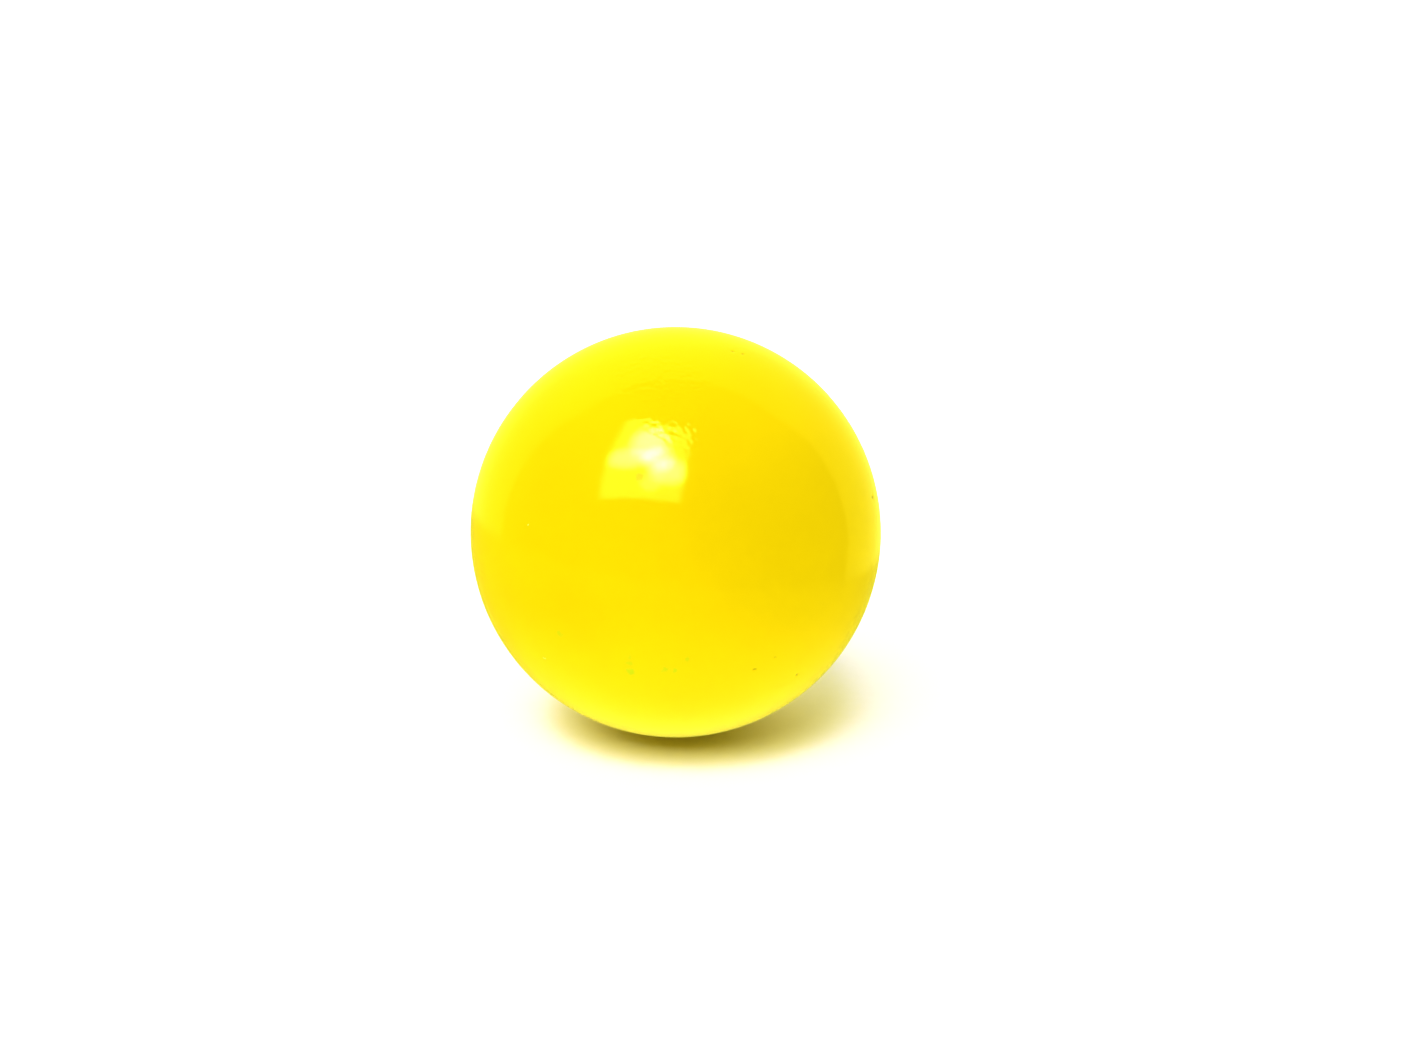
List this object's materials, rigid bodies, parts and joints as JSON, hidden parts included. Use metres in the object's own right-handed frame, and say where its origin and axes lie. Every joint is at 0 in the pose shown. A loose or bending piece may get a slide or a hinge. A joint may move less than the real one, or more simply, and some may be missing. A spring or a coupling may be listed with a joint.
{
  "type": "miniature table tennis ball",
  "caption": "Small glossy yellow hollow ball: lapped half shells cemented at a hidden seam, under one closed gloss lacquer coat.",
  "frame": {"origin": "the ball's centre", "axes": "+Z is the normal of the hidden seam, towards the upper half shell; the seam lies in the XY plane, 8 mm above what the ball rests on"},
  "size_m": [0.016, 0.016, 0.016],
  "materials": {
    "yellow_lacquer": "high gloss yellow lacquer",
    "shell_plastic": "moulded, satin",
    "cement": "dried solvent cement, glossy"
  },
  "bodies": {
    "root": {"upper_half_shell": "shell_plastic", "lower_half_shell": "shell_plastic", "seam_cement": "cement", "lacquer_coat": "yellow_lacquer"}
  },
  "joints": []
}
